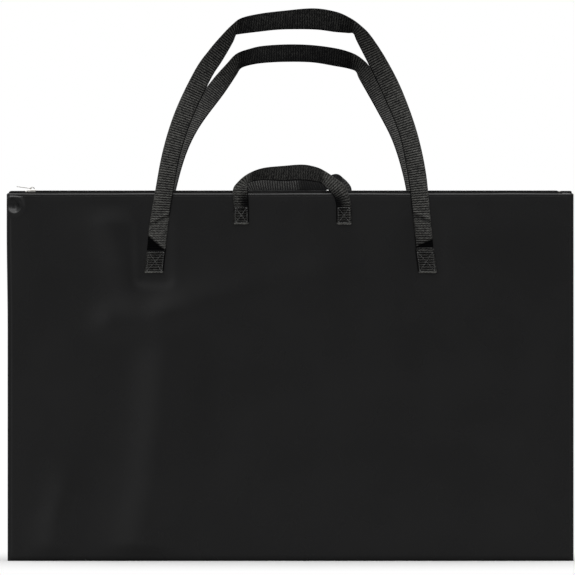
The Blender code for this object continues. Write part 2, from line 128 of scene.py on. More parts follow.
BACK_STRAP = [
    ((-236, 513), (-205, 513)), ((-229, 560), (-199, 560)), ((-217, 635), (-188, 631)),
    ((-200, 705), (-172, 697)), ((-177, 761), (-150, 750)), ((-136, 828), (-113, 812)),
    ((-106, 866), (-91, 855)), ((-90, 885), (-85, 867)), ((-70, 896), (-76, 871)),
    ((-48, 903), (-50, 876)), ((-9, 906), (-9, 879)), ((35, 904), (35, 879)),
    ((75, 897), (72, 873)), ((101, 887), (98, 869)), ((119, 874), (109, 864)),
    ((135, 855), (115, 846)), ((167, 799), (141, 787)), ((195, 733), (168, 724)),
    ((213, 665), (185, 659)), ((226, 590), (196, 588)), ((235, 513), (206, 513)),
]
FRONT_HANDLE = [
    ((-94, 586), (-69, 586)), ((-95, 610), (-70, 609)), ((-88, 622), (-70, 615)),
    ((-71, 636), (-69, 621)), ((-46, 646), (-50, 626)), ((-11, 650), (-13, 625)),
    ((20, 652), (20, 626)), ((42, 648), (37, 624)), ((57, 641), (48, 622)),
    ((73, 630), (58, 614)), ((91, 615), (71, 600)), ((100, 586), (75, 586)),
]
BACK_HANDLE = [
    ((-94, 586), (-69, 586)), ((-94, 604), (-69, 603)), ((-88, 624), (-68, 610)),
    ((-66, 638), (-59, 614)), ((-24, 637), (-22, 613)), ((14, 640), (18, 615)),
    ((46, 638), (54, 614)), ((74, 650), (70, 625)), ((88, 640), (75, 618)),
    ((99, 624), (76, 612)), ((101, 606), (76, 604)), ((100, 586), (75, 586)),
]
# Bands of painted shade at the loops' tops; on the back handle's right part it is a painted shadow
# of the front handle
STRAP_BAND = (-92, 108)
FRONT_HANDLE_BAND = (-72, 60)
BACK_HANDLE_BAND = (8, 90)
BACK_STRAP_LEAN = math.radians(31)
BACK_HANDLE_LEAN = math.radians(38)
SELVEDGE = 1.2          # the plain strip along each edge
EDGE_ROUND = 1.1        # how far in the edge is rounded over
EDGE_ROUND_DEPTH = 0.5
RIB_PITCH = 4.0
RIB_DEPTH = 0.45
YARN_PITCH = 2.6
# Painted light and shade in the weave: the band's painted shade, painted shade on the sewn ends, a
# painted highlight along the fold at each foot, and the level a creased flap is lightened to as a
# painted highlight
BAND_SHADE = 0.58
SEWN_SHADE = 0.25
FOOT_GLINT = 0.9
FLAP_SHADE = 0.8

# Threads
STITCH_LENGTH = 3.0
STITCH_GAP = 0.8
HEM_THREAD_RADIUS = 0.36
TAB_THREAD_RADIUS = 0.5

# Colours
VINYL_BLACK = (0.0085, 0.0085, 0.0088)
WEBBING_DARK = (0.0025, 0.0025, 0.0028)
WEBBING_LIGHT = (0.222, 0.22, 0.203)
NICKEL_GREY = (0.78, 0.76, 0.72)
COIL_BLACK = (0.008, 0.008, 0.009)
HEM_THREAD_DARK, HEM_THREAD_LIGHT = (0.006,) * 3, (0.02,) * 3
THREAD_DARK, THREAD_LIGHT = (0.03,) * 3, (0.2, 0.2, 0.195)
TAPE_DARK, TAPE_LIGHT = (0.005,) * 3, (0.014,) * 3
LINING_DARK, LINING_LIGHT = (0.010,) * 3, (0.024,) * 3


# Materials

def shader_tree(name, colour, roughness, metallic=0.0, specular=0.5):
    made = bpy.data.materials.new(name)
    made.use_nodes = True
    tree = made.node_tree
    shader = tree.nodes["Principled BSDF"]
    shader.inputs["Base Color"].default_value = (*colour, 1.0)
    shader.inputs["Roughness"].default_value = roughness
    shader.inputs["Metallic"].default_value = metallic
    shader.inputs["Specular IOR Level"].default_value = specular
    return made, tree, shader


def noise(tree, scale, detail):
    where = tree.nodes.new("ShaderNodeTexCoord")
    node = tree.nodes.new("ShaderNodeTexNoise")
    node.inputs["Scale"].default_value = scale
    node.inputs["Detail"].default_value = detail
    tree.links.new(where.outputs["Object"], node.inputs["Vector"])
    return node.outputs["Fac"]


def ramp(tree, value, stops):
    node = tree.nodes.new("ShaderNodeValToRGB")
    first, last = node.color_ramp.elements
    first.position, first.color = stops[0][0], (*stops[0][1], 1.0)
    last.position, last.color = stops[1][0], (*stops[1][1], 1.0)
    tree.links.new(value, node.inputs["Fac"])
    return node.outputs["Color"]


def bump(tree, shader, height, distance, strength):
    node = tree.nodes.new("ShaderNodeBump")
    node.inputs["Distance"].default_value = distance
    node.inputs["Strength"].default_value = strength
    tree.links.new(height, node.inputs["Height"])
    tree.links.new(node.outputs["Normal"], shader.inputs["Normal"])


def uneven_gloss(tree, shader, pattern, start, smoothest, roughest):
    """Roughness that wanders between two values with a noise pattern."""
    rough = ramp(tree, pattern, [(start, (smoothest,) * 3), (0.7, (roughest,) * 3)])
    tree.links.new(rough, shader.inputs["Roughness"])


def vinyl_material():
    made, tree, shader = shader_tree("vinyl_sheet", VINYL_BLACK, 0.27, specular=0.5)
    uneven_gloss(tree, shader, noise(tree, 9.0, 3.0), 0.35, smoothest=0.25, roughest=0.31)
    bump(tree, shader, noise(tree, 900.0, 2.0), distance=0.00004, strength=0.5)
    return made


def cloth_material(name, dark, light, grain, roughness=0.75):
    """Cloth or thread that goes from dark to light with a fine grain."""
    made, tree, shader = shader_tree(name, light, roughness, specular=0.35)
    colour = ramp(tree, noise(tree, grain, 3.0), [(0.36, dark), (0.66, light)])
    tree.links.new(colour, shader.inputs["Base Color"])
    shader.inputs["Sheen Weight"].default_value = 0.08
    shader.inputs["Sheen Roughness"].default_value = 0.5
    bump(tree, shader, noise(tree, grain * 1.6, 2.0), distance=0.0003, strength=0.6)
    return made


def math_node(tree, operation, *values):
    node = tree.nodes.new("ShaderNodeMath")
    node.operation = operation
    for socket, value in zip(node.inputs, values):
        if isinstance(value, (int, float)):
            socket.default_value = value
        else:
            tree.links.new(value, socket)
    return node.outputs["Value"]


def webbing_material():
    """Ribbed weave: the mesh's shade attribute holds the painted light and shade of its ribs, and
    its yarns cross them here.
    """
    made, tree, shader = shader_tree("webbing_yarn", (0.03, 0.03, 0.03), 0.62, specular=0.4)
    layer = tree.nodes.new("ShaderNodeUVMap")
    layer.uv_map = "weave"
    split = tree.nodes.new("ShaderNodeSeparateXYZ")
    tree.links.new(layer.outputs["UV"], split.inputs[0])
    across = math_node(tree, "SINE", math_node(tree, "MULTIPLY", split.outputs["X"], math.tau))
    along = math_node(tree, "SINE", math_node(tree, "MULTIPLY", split.outputs["Y"], math.tau))
    cross = math_node(tree, "MULTIPLY", across, along)
    coarse = math_node(tree, "MULTIPLY", noise(tree, 330.0, 2.0), 1.2)
    both = math_node(tree, "ADD", coarse, noise(tree, 800.0, 2.0))
    fleck = math_node(tree, "SUBTRACT", both, 0.6)
    yarn = math_node(tree, "ADD", math_node(tree, "MULTIPLY", cross, 0.18), fleck)
    ribs = tree.nodes.new("ShaderNodeAttribute")
    ribs.attribute_name = "shade"
    lit = math_node(tree, "MULTIPLY", ribs.outputs["Fac"], yarn)
    colour = ramp(tree, lit, [(0.08, WEBBING_DARK), (0.95, WEBBING_LIGHT)])
    tree.links.new(colour, shader.inputs["Base Color"])
    # the specular level follows the painted shade, so painted-dark parts also reflect less
    glint = math_node(tree, "MULTIPLY", ribs.outputs["Fac"], 0.5)
    tree.links.new(glint, shader.inputs["Specular IOR Level"])
    bump(tree, shader, yarn, distance=0.0005, strength=0.7)
    return made


def nickel_material():
    made, tree, shader = shader_tree("bright_nickel", NICKEL_GREY, 0.16, metallic=1.0)
    uneven_gloss(tree, shader, noise(tree, 300.0, 3.0), 0.3, smoothest=0.12, roughest=0.26)
    return made


def coil_material():
    made, tree, shader = shader_tree("nylon_coil", COIL_BLACK, 0.5, specular=0.2)
    uneven_gloss(tree, shader, noise(tree, 260.0, 2.0), 0.3, smoothest=0.42, roughest=0.6)
    return made


VINYL_MATERIAL = vinyl_material()
WEBBING_MATERIAL = webbing_material()
HEM_THREAD_MATERIAL = cloth_material("hem_sewing_thread", HEM_THREAD_DARK, HEM_THREAD_LIGHT,
                                     1500.0, 0.5)
THREAD_MATERIAL = cloth_material("strap_sewing_thread", THREAD_DARK, THREAD_LIGHT, 700.0, 0.5)
TAPE_MATERIAL = cloth_material("zipper_tape_cloth", TAPE_DARK, TAPE_LIGHT, 1300.0)
LINING_MATERIAL = cloth_material("lining_cloth", LINING_DARK, LINING_LIGHT, 1100.0)
COIL_MATERIAL = coil_material()
NICKEL_MATERIAL = nickel_material()


# Meshes

def add_mesh(name, points, faces, stuff, smooth=True):
    """A mesh from points in millimetres."""
    mesh = bpy.data.meshes.new(name)
    mesh.from_pydata((np.asarray(points, float) * MM).tolist(), [], faces)
    mesh.update()
    if smooth:
        mesh.polygons.foreach_set("use_smooth", [True] * len(mesh.polygons))
    mesh.materials.append(stuff)
    made = bpy.data.objects.new(name, mesh)
    bpy.context.scene.collection.objects.link(made)
    return made


def closed_sheet(front, back):
    """Points and faces of a closed sheet from two grids of the same shape, rows by columns."""
    rows, columns = front.shape[:2]
    points = np.concatenate([front.reshape(-1, 3), back.reshape(-1, 3)])
    start = rows * columns
    index = np.arange(start).reshape(rows, columns)
    a, b, c, d = index[:-1, :-1], index[1:, :-1], index[1:, 1:], index[:-1, 1:]
    top = np.stack([a, d, c, b], -1).reshape(-1, 4)
    bottom = top[:, ::-1] + start
    rim = np.concatenate([index[0, :], index[1:, -1], index[-1, -2::-1], index[-2:0:-1, 0]])
    ahead = np.roll(rim, -1)
    edge = np.stack([rim, rim + start, ahead + start, ahead], -1)
    return points, np.concatenate([top, bottom, edge]).tolist()


def signed_volume(mesh):
    mesh.calc_loop_triangles()
    count = len(mesh.loop_triangles)
    corners = np.zeros(count * 3, np.int32)
    mesh.loop_triangles.foreach_get("vertices", corners)
    points = np.zeros(len(mesh.vertices) * 3)
    mesh.vertices.foreach_get("co", points)
    tri = points.reshape(-1, 3)[corners.reshape(-1, 3)]
    return float(np.einsum("ij,ij->i", tri[:, 0], np.cross(tri[:, 1], tri[:, 2])).sum()) / 6


def face_outward(made):
    if signed_volume(made.data) < 0:
        made.data.flip_normals()
    return made


def sheet_object(name, front, back, stuff):
    points, faces = closed_sheet(front, back)
    return face_outward(add_mesh(name, points, faces, stuff))


def tube_object(name, rings, stuff):
    """A closed tube through rings of points."""
    count = rings.shape[1]
    index = np.arange(rings.shape[0] * count).reshape(-1, count)
    a, b = index[:-1], np.roll(index[:-1], -1, axis=1)
    faces = np.stack([a, b, b + count, a + count], -1).reshape(-1, 4).tolist()
    faces += [index[0, ::-1].tolist(), index[-1].tolist()]
    return face_outward(add_mesh(name, rings.reshape(-1, 3), faces, stuff))


def smooth_step(value):
    value = np.clip(value, 0.0, 1.0)
    return value * value * (3 - 2 * value)


def gauss(value, spread):
    return np.exp(-0.5 * (value / spread) ** 2)


def smooth_rows(values, passes):
    """Averages each row with its neighbours, in place, apart from the first and the last."""
    for _ in range(passes):
        values[1:-1] = (values[:-2] + 2 * values[1:-1] + values[2:]) / 4
    return values


# Panels

def panel_fullness(x, z):
    """0 at the seams and 1 where the panel is at its full depth."""
    up = np.clip((z - CORNER_START) / (LIP_TOP - CORNER_START), 0, 1)
    taper = SEAM_TAPER + (CORNER_TAPER - SEAM_TAPER) * up
    across = np.sin(np.pi / 2 * np.clip((HALF_WIDTH - np.abs(x)) / taper, 0, 1))
    return across * np.sin(np.pi / 2 * np.clip(z / SEAM_TAPER, 0, 1))


def rounded(share):
    """A quarter circle: 0 at 0, and level from 1 on."""
    return np.sqrt(np.clip(1 - (1 - np.clip(share, 0, 1)) ** 2, 0, 1))


def panel_depth(x, z):
    """Outer face of the panel: full away from the seams, and rounded over at its edge."""
    turn = rounded((HALF_WIDTH - np.abs(x)) / EDGE_TURN) * rounded(z / BOTTOM_TURN)
    shoulder = SEAM_DEPTH + (SHOULDER_DEPTH - SEAM_DEPTH) * turn
    return shoulder + (HALF_DEPTH - SHOULDER_DEPTH) * panel_fullness(x, z)


def ridge(x, z, path, height, spread):
    """A soft ridge in the sheet along a line of (x, z, strength) points."""
    rise = np.zeros(np.broadcast(x, z).shape)
    for (x0, z0, s0), (x1, z1, s1) in zip(path, path[1:]):
        run_x, run_z = x1 - x0, z1 - z0
        share = np.clip(((x - x0) * run_x + (z - z0) * run_z) / (run_x ** 2 + run_z ** 2), 0, 1)
        away = np.hypot(x - x0 - share * run_x, z - z0 - share * run_z)
        rise = np.maximum(rise, (s0 + (s1 - s0) * share) * gauss(away, spread))
    return height * rise


# Each ridge is its line, its height and its spread
FRONT_RIDGES = [
    ([(-248, -20, 1), (-240, 60, 1), (-223, 130, 1), (-213, 240, 1), (-205, 330, 1),
      (-202, 400, 0.9), (-202, 450, 0)], 4.7, 30.0),
    ([(-392, -20, 1), (-386, 60, 1), (-372, 110, 0.7), (-362, 180, 0)], 3.2, 20.0),
    ([(-306, 620, 0.8), (-294, 560, 1), (-274, 490, 1), (-262, 440, 0.6),
      (-250, 400, 0)], 3.0, 24.0),
    ([(-326, 388, 0), (-292, 393, 1), (-225, 400, 1), (-160, 420, 0.7), (-50, 450, 0.5),
      (60, 474, 0.4), (190, 500, 0)], 3.4, 22.0),
]
BACK_RIDGES = [
    ([(170, 0, 0.3), (150, 100, 1), (176, 240, 0.9), (210, 400, 0)], 2.2, 30.0),
    ([(-320, 40, 0), (-300, 180, 1), (-330, 330, 0)], 1.8, 34.0),
]


def panel_waves(x, z, side):
    """Outward waves of the sheet, still beside the seams, the mouth and the sewn tabs."""
    wave = np.zeros(np.broadcast(x, z).shape)
    for path, height, spread in FRONT_RIDGES if side < 0 else BACK_RIDGES:
        wave = wave + ridge(x, z, path, height, spread)
    wave = wave + 0.2 * (1 + np.sin(x / 71.0 + 1.3 * np.sin(z / 117.0) + side))
    wave = wave + 0.1 * (1 + np.sin(z / 59.0 + x / 163.0 - side))
    calm = smooth_step((HALF_WIDTH - np.abs(x)) / 40) * smooth_step(z / 30)
    calm = calm * smooth_step((590 - z) / 40)
    for kind in (STRAP, HANDLE):
        for end in ("left", "right"):
            beside = np.maximum(np.abs(x - kind[end][0]) - kind["width"] / 2 - 4, 0)
            below = np.maximum(kind["foot"] - 8 - z, 0)
            calm = calm * smooth_step(np.hypot(beside, below) / 20)
    return wave * calm


def corner_pucker(x, z):
    """The hollow with a raised rim where the turned-in edges bunch up under the closed end."""
    across = (x - PUCKER_MIDDLE[0]) / PUCKER_REACH[0]
    r = np.hypot(across, (z - PUCKER_MIDDLE[1]) / PUCKER_REACH[1])
    rim = 2.2 * gauss(r - 0.95, 0.22)
    hollow = 4.4 * np.clip(1 - r ** 2, 0, 1) ** 1.2
    fold = 2.2 * gauss((x + 446.0) + 0.6 * (z - 589.0), 2.0) * gauss(z - 590.0, 6.0)
    return rim - hollow + fold


def panel_grid():
    """Columns and rows of a panel, closer together at its edges and at the stitch line."""
    insets = np.array(EDGE_INSETS)
    middle = np.linspace(-HALF_WIDTH + 60, HALF_WIDTH - 60, 170)
    xs = np.concatenate([-HALF_WIDTH + insets, middle, HALF_WIDTH - insets[::-1]])
    zs = np.concatenate([BOTTOM_ROWS, np.linspace(60, 555, 92), np.arange(558, 598, 1.7),
                         np.arange(598.2, 601.6, 0.4)])
    return xs, zs


def panel_face(x, z, side):
    """Outer face of the panel up to the lip, with its stitch groove, waves and pucker."""
    groove = 0.45 * gauss(z - STITCH_LINE, 0.7) + 0.25 * gauss(z - STITCH_LINE + 3.2, 1.4)
    depth = panel_depth(x, z) - groove * smooth_step((HALF_WIDTH - 9 - np.abs(x)) / 4)
    depth = depth + panel_waves(x, z, side)
    if side < 0:
        depth = depth + corner_pucker(x, z) * smooth_step((LIP_START - z) / 4)
    return depth


def lip_rows(xs, side):
    """The rows that turn in over the lip, on the outer and on the inner face."""
    full = panel_fullness(xs, np.full_like(xs, LIP_START))
    base = panel_depth(xs, np.full_like(xs, LIP_START))
    lift = 0.35 * np.sin(xs / 47.0) * full + 0.2 * np.sin(xs / 19.0 + 1) * full
    rows = []
    for share in np.linspace(0, 1, LIP_STEPS + 1)[1:]:
        angle = np.pi / 2 * full * share
        depth = base - LIP_RADIUS * (1 - np.cos(angle))
        rows.append((angle, depth, LIP_START + LIP_RADIUS * np.sin(angle) + lift * share))
    angle, depth, height = rows[-1]
    rows.append((angle, depth - LIP_REACH * np.sin(angle), height + LIP_REACH * np.cos(angle)))
    outer, inner = [], []
    for angle, depth, height in rows:
        outer.append(np.stack([xs, side * depth, height], -1)[None])
        under = side * (depth - VINYL * np.cos(angle))
        inner.append(np.stack([xs, under, height - VINYL * np.sin(angle)], -1)[None])
    return outer, inner


def panel_object(side_name, side):
    xs, zs = panel_grid()
    x, z = np.meshgrid(xs, zs)
    depth = panel_face(x, z, side)
    outer, inner = lip_rows(xs, side)
    front = np.concatenate([np.stack([x, side * depth, z], -1)] + outer)
    back = np.concatenate([np.stack([x, side * (depth - VINYL), z], -1)] + inner)
    if side < 0:
        up = smooth_step((front[..., 2] - 380) / 170)
        flare = EDGE_FLARE * up * smooth_step((-front[..., 0] - 424) / 40)
        front[..., 0] -= flare
        back[..., 0] -= flare
    made = sheet_object(side_name + "_vinyl_sheet", front, back, VINYL_MATERIAL)
    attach(made, "case")
    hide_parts(side_name + "_panel")


# Webbing

def smooth_rungs(rungs, steps):
    """Catmull-Rom curves through both edges of a loop."""
    points = np.array(rungs, float)
    last = len(points) - 1
    out = []
    for i in range(last):
        p0, p1, p2, p3 = (points[k] for k in (max(i - 1, 0), i, i + 1, min(i + 2, last)))
        for step in range(steps):
            t = step / steps
            out.append(0.5 * (2 * p1 + (p2 - p0) * t + (2 * p0 - 5 * p1 + 4 * p2 - p3) * t * t
                              + (3 * p1 - p0 - 3 * p2 + p3) * t ** 3))
    out.append(points[last])
    return np.array(out)


def loop_edges(rungs, width, side, hinge, lean):
    """Both edges of a loop in space, from the left hinge line to the right one."""
    flat = smooth_rungs(rungs, LOOP_STEPS)
    shown = np.linalg.norm(flat[:, 0] - flat[:, 1], axis=1)
    height = np.minimum(flat[:, 0, 1], flat[:, 1, 1]) - TURN_START
    off = np.sqrt(np.maximum(0, (FLAT_SHARE * width) ** 2 - shown ** 2))
    off = off * np.clip(height / TURN_EASE, 0, 1)
    off = smooth_rows(off, LOOP_SMOOTHING)
    above = np.maximum(flat[..., 1] - hinge, LOOP_CLEARANCE)
    outer = np.stack([flat[:, 0, 0], -off / 2, above[:, 0]], -1)
    inner = np.stack([flat[:, 1, 0], off / 2, above[:, 1]], -1)
    turn = np.array(Matrix.Rotation(-side * lean, 3, "X"))
    at = np.array([0, side * TAB_FACE, hinge])
    return outer @ turn.T + at, inner @ turn.T + at


def tab_edges(kind, end, side):
    """Both edges of a sewn end: from the free end under it, round the foot and up to the hinge."""
    low, high = kind[end]
    half = kind["width"] / 2
    out = -1 if end == "left" else 1
    radius = (TAB_FACE - TAB_BACK) / 2
    path = [(TAB_BACK, kind["foot"] + kind["under"] * share) for share in (1, 0.75, 0.5, 0.25, 0.1)]
    for turn in np.linspace(0, np.pi, 9):
        path.append((TAB_BACK + radius - radius * np.cos(turn),
                     kind["foot"] + radius - radius * np.sin(turn)))
    for share in np.concatenate([[0.04, 0.07], np.linspace(0.1, 0.97, 10)]):
        path.append((TAB_FACE, kind["foot"] + (kind["hinge"] - kind["foot"]) * share))
    outer, inner = [], []
    for y, z in path:
        centre = low + (high - low) * (z - kind["foot"]) / (kind["hinge"] - kind["foot"])
        rise = 1 - min(1.0, (z - kind["foot"]) / TAB_CORNER)
        reach = half - TAB_CORNER * (1 - math.sqrt(1 - rise ** 2)) * 0.7
        outer.append((centre + out * reach, side * y, z))
        inner.append((centre - out * reach, side * y, z))
    return np.array(outer), np.array(inner)


def resample(outer, inner, step):
    """Both edges again at even steps along the middle line, and how far along it each step is."""
    middle = (outer + inner) / 2
    length = np.linalg.norm(np.diff(middle, axis=0), axis=1)
    run = np.concatenate([[0], np.cumsum(length)])
    count = int(run[-1] / step)
    at = np.linspace(0, run[-1], count)
    edges = []
    for edge in (outer, inner):
        edges.append(np.stack([np.interp(at, run, edge[:, k]) for k in range(3)], -1))
    return edges[0], edges[1], at


def leg_folds(u, above, end):
    """The creases of a long strap just above its sewn end.

    u runs from the outer edge to the inner one, and above is the height over the hinge line. Gives
    how far the webbing is pushed out, its painted shade (a painted shadow in the hollow under the
    lifted strap, painted highlights on the crease and the edge, painted shade under the crease),
    and where a flap of it catches the light as a painted highlight.
    """
    if end == "left":
        slope = 23.0 * (1 - u / 0.9)
        hollow = smooth_step((slope - above) / 3) * smooth_step((above + 6) / 5)
        crease = above - (41.0 + 16.0 * u)
        flap = smooth_step((above - slope) / 4) * smooth_step(-crease / 3)
        edge = gauss(above - slope - 2.0, 1.8) * smooth_step((above + 2) / 3)
    else:
        hollow = smooth_step((18.0 - 13.0 * u - above) / 3) * smooth_step((above - 0.5) / 3)
        crease = above - (46.0 + 14.0 * u)
        flap = 0.5 * smooth_step((above - 20.0) / 5) * smooth_step(-crease / 3)
        edge = 0 * above
    high = gauss(crease - 3.0, 2.6)
    # painted shadow in the hollow, painted highlights on the crease and the edge, painted shade
    # under the crease
    push = high - 0.9 * gauss(crease + 3.0, 3.0) + 0.9 * edge - 1.4 * hollow
    shade = 1 - 0.92 * hollow + 0.3 * high - 0.45 * gauss(crease + 3.5, 3.0) + 0.3 * edge
    return push, shade, 0.35 * flap


def handle_folds(u, above, end):
    """A short handle's legs are pinched in on their inner side, just above the sewn ends, and
    darkened there with painted shade.
    """
    pinch = smooth_step((u - 0.25) / 0.5) * gauss(above - 3.0, 11.0)
    return -0.8 * pinch, 1 - 0.7 * pinch, 0 * above


def folded(folds, kind, base, u, side, shade):
    """The push and the painted shade and highlights of the webbing once its creases are in it."""
    push = np.zeros_like(shade)
    on_face = smooth_step(base[..., 1] * side - TAB_BACK - 1.5)
    for end, part in (("left", base[..., 0] < 0), ("right", base[..., 0] >= 0)):
        out, tone, flap = folds(u[None], base[..., 2] - kind["hinge"], end)
        creased = shade * (1 + (tone - 1) * on_face)
        # the flap is lightened towards FLAP_SHADE as a painted highlight
        creased = creased + (FLAP_SHADE - creased) * flap * on_face
        push = np.where(part, out * on_face, push)
        shade = np.where(part, creased, shade)
    return push, shade


def webbing_edges(kind, rungs, side, lean):
    """Both edges of a length of webbing, from one free end to the other."""
    loop_outer, loop_inner = loop_edges(rungs, kind["width"], side, kind["hinge"], lean)
    left_outer, left_inner = tab_edges(kind, "left", side)
    right_outer, right_inner = tab_edges(kind, "right", side)
    outer = np.concatenate([left_outer, loop_outer, right_outer[::-1]])
    inner = np.concatenate([left_inner, loop_inner, right_inner[::-1]])
    return resample(outer, inner, kind["step"])


def webbing_normals(outer, inner, side):
    """The direction that the webbing's face looks in: at the loop's middle, away from the case."""
    normal = np.cross(np.gradient((outer + inner) / 2, axis=0), inner - outer)
    normal /= np.linalg.norm(normal, axis=1)[:, None]
    if normal[len(normal) // 2, 1] * side < 0:
        normal = -normal
    normal = smooth_rows(normal, 2)
    return normal / np.linalg.norm(normal, axis=1)[:, None]


def band_share(base, run, band):
    """1 in the band at the top of a loop, which gets painted shade, and 0 elsewhere."""
    share = smooth_step((base[..., 0] - band[0]) / 10) * smooth_step((band[1] - base[..., 0]) / 10)
    share = share * smooth_step((run - 0.25 * run[-1]) / 10)[:, None]
    return share * smooth_step((0.75 * run[-1] - run) / 10)[:, None]


def webbing_shade(kind, base, u, lean, ribs, plain, in_band):
    """How bright the weave is painted, all painted light and shade: painted shade in the rib
    grooves (ribs is how much of them shows), on the selvedges (plain marks them), towards the inner
    edge, near the loop's top and near the hinge, along the inner edge, in the band and on the sewn
    ends, and a painted highlight along the fold at the foot.
    """
    # painted shade in the rib grooves
    shade = 1 - kind["rib_shade"] * ribs
    # painted shade, darker towards the inner edge
    shade = shade * (1 - 0.12 * smooth_step((u - 0.45) / 0.5))[None]
    # painted shade near the loop's top and near the hinge, and on the selvedges
    height = kind["hinge"] + (base[..., 2] - kind["hinge"]) / math.cos(lean)
    dim = smooth_step((height - kind["dim_above"]) / 80)
    dim = dim + smooth_step((kind["dim_below"] - height) / (kind["dim_below"] - kind["hinge"]))
    shade = shade * (1 - kind["dimming"] * dim) * (1 - 0.4 * plain)[None]
    # a painted shade line along the inner edge
    inner_edge_shade = smooth_step((u - 0.945) / 0.03) * smooth_step((1.02 - u) / 0.02)
    shade = shade * (1 - 0.9 * inner_edge_shade)[None]
    # painted shade in the band at the loop's top
    shade = shade * (1 - BAND_SHADE * in_band)
    # painted shade on the sewn ends, and a painted highlight along the fold at the foot
    sewn = smooth_step((kind["hinge"] - 2 - base[..., 2]) / 4)
    foot = gauss(base[..., 2] - kind["foot"] - 1.6, 1.1)
    return shade * (1 - SEWN_SHADE * sewn) + FOOT_GLINT * sewn * foot


def store_weave(made, kind, shade, u, run):
    """Gives the mesh its painted shade, with more painted shade on the inner face, and coordinates
    that count its yarns.
    """
    both = np.concatenate([shade.ravel(), (shade * kind["inner_shade"]).ravel()])
    layer = made.data.attributes.new("shade", "FLOAT", "POINT")
    layer.data.foreach_set("value", np.clip(both, 0, 1.3))
    flat_u = np.broadcast_to(u[None] * kind["width"] / YARN_PITCH / 2, shade.shape)
    flat_v = np.broadcast_to(run[:, None] / RIB_PITCH, shade.shape)
    place = np.stack([flat_u.ravel(), flat_v.ravel()], -1)
    corners = np.zeros(len(made.data.loops), np.int32)
    made.data.loops.foreach_get("vertex_index", corners)
    layer = made.data.uv_layers.new(name="weave")
    layer.data.foreach_set("uv", np.concatenate([place, place])[corners].ravel())


def webbing_object(name, kind, rungs, side, lean, body, folds, band):
    """One length of ribbed webbing: folded under and sewn at both ends, with the loop between."""
    outer, inner, run = webbing_edges(kind, rungs, side, lean)
    u = np.concatenate([[0, 0.012, 0.035], np.linspace(0.075, 0.925, 18), [0.965, 0.988, 1]])
    base = outer[:, None] * (1 - u[None, :, None]) + inner[:, None] * u[None, :, None]
    normal = webbing_normals(outer, inner, side)
    from_edge = np.minimum(u, 1 - u) * kind["width"]
    round_off = EDGE_ROUND_DEPTH * np.clip(1 - from_edge / EDGE_ROUND, 0, 1) ** 2
    ribbed = np.clip((from_edge - SELVEDGE) / SELVEDGE, 0, 1)
    in_band = band_share(base, run, band)
    # shallower ribs on the outer strip: worn, and with less painted groove shade there, so it is
    # lighter
    worn_and_less_groove_shade = 1 - 0.1 * smooth_step((0.36 - u) / 0.08)[None]
    depth = ribbed[None] * worn_and_less_groove_shade * (1 - 0.4 * in_band)
    rib = (0.5 - 0.5 * np.cos(2 * np.pi * run / RIB_PITCH))[:, None]
    shade = webbing_shade(kind, base, u, lean, (1 - rib ** 1.1) * depth, 1 - ribbed, in_band)
    push = np.zeros_like(shade)
    if folds:
        push, shade = folded(folds, kind, base, u, side, shade)
    dip = RIB_DEPTH * (1 - rib ** 0.7) * depth
    front = base - normal[:, None] * (dip + round_off[None])[..., None]
    back = base - normal[:, None] * (WEBBING - round_off[None] * 0.8 - dip * 0.5)[..., None]
    shove = push[..., None] * np.array([0, side, 0])
    made = sheet_object(name, front + shove, back + shove, WEBBING_MATERIAL)
    store_weave(made, kind, shade, u, run)
    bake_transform(made)
    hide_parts(body + "_loop", body + "_left_tab", body + "_right_tab")


# Threads

def stitches_along(start, end):
    """A sewn line from start to end, as the end points of its stitches."""
    start, end = np.array(start, float), np.array(end, float)
    length = np.linalg.norm(end - start)
    count = max(1, round((length + STITCH_GAP) / (STITCH_LENGTH + STITCH_GAP)))
    pitch = (length + STITCH_GAP) / count
    way = (end - start) / length
    stitches = []
    for i in range(count):
        stitches.append((start + way * pitch * i, start + way * (pitch * (i + 1) - STITCH_GAP)))
    return stitches


def thread_object(name, stitches, node, stuff, radius):
    """Stitches as short rounded threads, each closed, in one piece."""
    turns = np.linspace(0, 2 * np.pi, 7)[:-1]
    count = len(turns)
    rings = [(0.0, 0.4), (0.12, 0.9), (0.5, 1.0), (0.88, 0.9), (1.0, 0.4)]
    out = np.array([0.0, 1.0, 0.0])
    points, faces = [], []
    for start, end in stitches:
        way = (end - start) / np.linalg.norm(end - start)
        beside = np.cross(way, out)
        first = len(points)
        for share, size in rings:
            centre = start + (end - start) * share
            for turn in turns:
                away = math.cos(turn) * out + math.sin(turn) * beside
                points.append(centre + radius * size * away)
        for ring in range(len(rings) - 1):
            for i in range(count):
                a, b = first + ring * count + i, first + ring * count + (i + 1) % count
                faces.append((a, b, b + count, a + count))
        faces.append(tuple(first + i for i in reversed(range(count))))
        faces.append(tuple(first + (len(rings) - 1) * count + i for i in range(count)))
    made = face_outward(add_mesh(name, points, faces, stuff))
    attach(made, "case")
    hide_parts(node)


def tab_stitches(kind, end, side, name):
    """A box with both diagonals through a sewn end."""
    low, high = kind[end]
    run = kind["hinge"] - kind["foot"]
    depth = side * (TAB_FACE + 0.05)

    def corner(out, z):
        centre = low + (high - low) * (z - kind["foot"]) / run
        return centre + out * (kind["width"] / 2 - 3.0), depth, z

    bottom, top = kind["foot"] + 3.5, kind["hinge"] - 5.0
    a, b, c, d = corner(-1, bottom), corner(1, bottom), corner(1, top), corner(-1, top)
    stitches = []
    for start, finish in ((a, b), (b, c), (c, d), (d, a), (a, c), (b, d)):
        stitches += stitches_along(start, finish)
    thread_object(name + "_box_stitch", stitches, name + "_stitch",
                  THREAD_MATERIAL, TAB_THREAD_RADIUS)


def hem_stitches(side_name, side):
    depth = side * (HALF_DEPTH - 0.15)
    start, end = (-HEM_HALF_LENGTH, depth, STITCH_LINE), (HEM_HALF_LENGTH, depth, STITCH_LINE)
    thread_object(side_name + "_hem_thread", stitches_along(start, end), side_name + "_hem_stitch",
                  HEM_THREAD_MATERIAL, HEM_THREAD_RADIUS)


# Zipper

